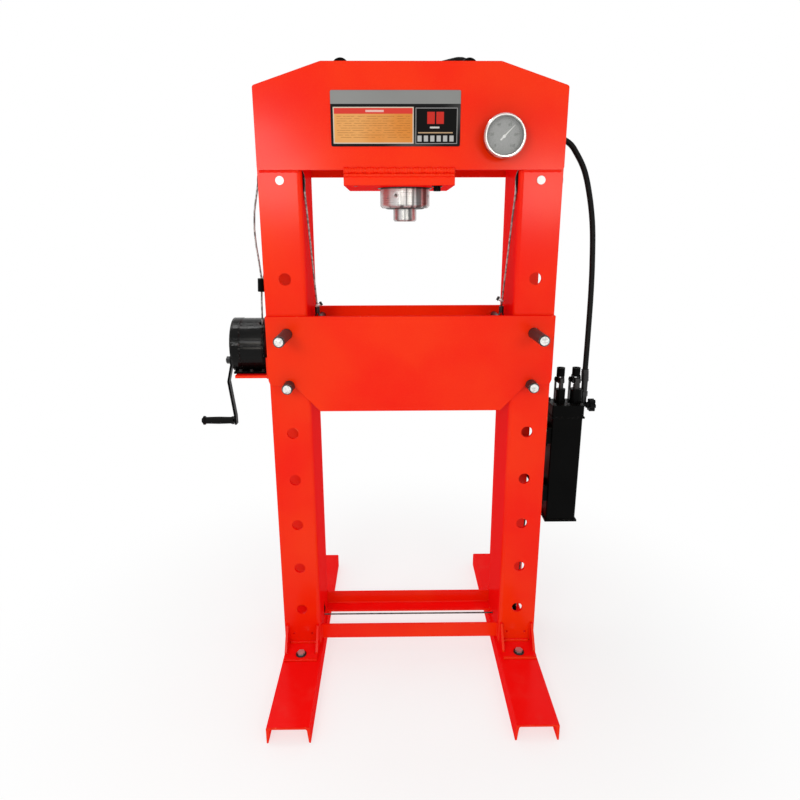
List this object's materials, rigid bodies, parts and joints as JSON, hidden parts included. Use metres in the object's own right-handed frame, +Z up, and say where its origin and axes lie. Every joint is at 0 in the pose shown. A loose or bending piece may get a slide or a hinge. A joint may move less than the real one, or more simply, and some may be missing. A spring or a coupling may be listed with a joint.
{
  "type": "hydraulic shop press",
  "caption": "Floor-standing H-frame hydraulic press with a hand pump and hose, a ram under the crown, a pinned bed on wire ropes and a hand winch to raise it.",
  "frame": {"origin": "on the floor, midway between the two feet and the two posts", "axes": "+Z up, -Y towards the front with the gauge and the label, +X to the pump's side"},
  "size_m": [1.17, 0.908, 1.7953],
  "materials": {
    "red_paint": "semi-gloss",
    "black_paint": "semi-gloss",
    "zinc_steel": "zinc plated",
    "bright_steel": "turned",
    "dark_steel": "oiled",
    "sheave_iron": "painted",
    "wire_rope": "stranded",
    "bezel": "polished",
    "dial": "matt",
    "gauge_glass": "clear",
    "needle": "matt",
    "label": "printed",
    "black_plastic": "matt",
    "hose_rubber": "satin"
  },
  "bodies": {
    "frame": {"left_foot": "red_paint", "right_foot": "red_paint", "left_post": "red_paint", "right_post": "red_paint", "shoe_brackets": "red_paint", "shoe_bolts": "zinc_steel", "front_rail": "red_paint", "rear_rail": "red_paint", "crown_front_plate": "red_paint", "crown_rear_plate": "red_paint", "crown_spacers": "red_paint", "lifting_eyes": "black_paint", "cylinder_mount_plate": "red_paint", "cylinder_barrel": "dark_steel", "cylinder_collar": "bright_steel", "return_spring": "dark_steel", "gauge_case": "black_paint", "gauge_bezel": "bezel", "gauge_dial": "dial", "gauge_glass": "gauge_glass", "label_plate": "label", "sheave_axles": "zinc_steel", "winch_rope": "wire_rope", "cross_rope": "wire_rope", "lift_ropes": "wire_rope", "rope_clips": "black_paint", "winch_shelf": "red_paint", "winch_frame": "black_paint", "winch_cover": "black_paint", "pump_bracket": "black_paint", "oil_tank": "black_paint", "pump_head": "black_paint", "pump_barrels": "black_paint", "hose_fittings": "dark_steel", "hose": "hose_rubber", "inner_hose": "hose_rubber"},
    "bed": {"bed_front_plate": "red_paint", "bed_rear_plate": "red_paint", "bed_spacers": "red_paint", "bed_rope_eyes": "dark_steel"},
    "upper_left_pin": {"upper_left_pin": "dark_steel"},
    "upper_right_pin": {"upper_right_pin": "dark_steel"},
    "lower_left_pin": {"lower_left_pin": "dark_steel"},
    "lower_right_pin": {"lower_right_pin": "dark_steel"},
    "ram": {"ram": "bright_steel"},
    "winch_drum": {"winch_drum": "dark_steel"},
    "crank": {"crank_shaft": "dark_steel", "crank_arm": "black_paint"},
    "crank_grip": {"crank_grip": "black_plastic"},
    "left_lift_sheave": {"left_lift_sheave": "sheave_iron"},
    "right_lift_sheave": {"right_lift_sheave": "sheave_iron"},
    "guide_sheave": {"guide_sheave": "sheave_iron"},
    "left_bottom_sheave": {"left_bottom_sheave": "sheave_iron"},
    "right_bottom_sheave": {"right_bottom_sheave": "sheave_iron"},
    "fast_lever": {"fast_lever": "black_paint"},
    "power_lever": {"power_lever": "black_paint"},
    "fast_piston": {"fast_piston": "dark_steel"},
    "power_piston": {"power_piston": "dark_steel"},
    "release_knob": {"release_knob": "black_plastic"},
    "gauge_needle": {"gauge_needle": "needle"}
  },
  "joints": [
    {"name": "bed_height", "type": "slide", "parent": "frame", "child": "bed", "axis": [0, 0, 1], "range_m": [-0.7375, 0.1475], "deforming": ["lift_ropes"]},
    {"name": "upper_left_pin_slide", "type": "slide", "parent": "bed", "child": "upper_left_pin", "axis": [0, -1, 0], "range_m": [0, 0.262]},
    {"name": "upper_right_pin_slide", "type": "slide", "parent": "bed", "child": "upper_right_pin", "axis": [0, -1, 0], "range_m": [0, 0.262]},
    {"name": "lower_left_pin_slide", "type": "slide", "parent": "bed", "child": "lower_left_pin", "axis": [0, -1, 0], "range_m": [0, 0.345]},
    {"name": "lower_right_pin_slide", "type": "slide", "parent": "bed", "child": "lower_right_pin", "axis": [0, -1, 0], "range_m": [0, 0.345]},
    {"name": "ram_slide", "type": "slide", "parent": "frame", "child": "ram", "axis": [0, 0, -1], "range_m": [0, 0.18], "deforming": ["return_spring"]},
    {"name": "drum_spin", "type": "hinge", "parent": "frame", "child": "winch_drum", "pos_m": [-0.46, -0.02, 1.017], "axis": [1, 0, 0], "continuous": true},
    {"name": "crank_spin", "type": "hinge", "parent": "frame", "child": "crank", "pos_m": [-0.52, -0.06096, 0.98], "axis": [1, 0, 0], "continuous": true},
    {"name": "grip_spin", "type": "hinge", "parent": "crank", "child": "crank_grip", "pos_m": [-0.575, -0.06096, 0.797], "axis": [1, 0, 0], "continuous": true},
    {"name": "left_lift_sheave_spin", "type": "hinge", "parent": "frame", "child": "left_lift_sheave", "pos_m": [-0.3425, -0.085, 1.4675], "axis": [0, 1, 0], "continuous": true},
    {"name": "right_lift_sheave_spin", "type": "hinge", "parent": "frame", "child": "right_lift_sheave", "pos_m": [0.3425, -0.085, 1.4675], "axis": [0, 1, 0], "continuous": true},
    {"name": "guide_sheave_spin", "type": "hinge", "parent": "frame", "child": "guide_sheave", "pos_m": [-0.3425, 0, 1.4675], "axis": [0, 1, 0], "continuous": true},
    {"name": "left_bottom_sheave_spin", "type": "hinge", "parent": "frame", "child": "left_bottom_sheave", "pos_m": [-0.3045, 0, 0.106], "axis": [0, 1, 0], "continuous": true},
    {"name": "right_bottom_sheave_spin", "type": "hinge", "parent": "frame", "child": "right_bottom_sheave", "pos_m": [0.3425, 0, 0.106], "axis": [0, 1, 0], "continuous": true},
    {"name": "fast_lever_swing", "type": "hinge", "parent": "frame", "child": "fast_lever", "pos_m": [0.495, -0.03, 0.91], "axis": [1, 0, 0], "range_deg": [-25, 25]},
    {"name": "power_lever_swing", "type": "hinge", "parent": "frame", "child": "power_lever", "pos_m": [0.449, -0.03, 0.91], "axis": [1, 0, 0], "range_deg": [-25, 25]},
    {"name": "fast_piston_slide", "type": "slide", "parent": "frame", "child": "fast_piston", "axis": [0, 0, 1], "range_m": [-0.0108, 0.0108]},
    {"name": "power_piston_slide", "type": "slide", "parent": "frame", "child": "power_piston", "axis": [0, 0, 1], "range_m": [-0.0108, 0.0108]},
    {"name": "release_knob_turn", "type": "hinge", "parent": "frame", "child": "release_knob", "pos_m": [0.53, -0.054, 0.836], "axis": [1, 0, 0], "range_deg": [0, 270]},
    {"name": "gauge_needle_turn", "type": "hinge", "parent": "frame", "child": "gauge_needle", "pos_m": [0.232, -0.155, 1.567], "axis": [0, 1, 0], "range_deg": [-180, 90]}
  ],
  "couplings": [
    {"joint": "crank_spin", "follows": "drum_spin", "ratio": -3},
    {"joint": "fast_piston_slide", "follows": "fast_lever_swing", "m_per_rad": -0.024},
    {"joint": "power_piston_slide", "follows": "power_lever_swing", "m_per_rad": -0.024}
  ]
}
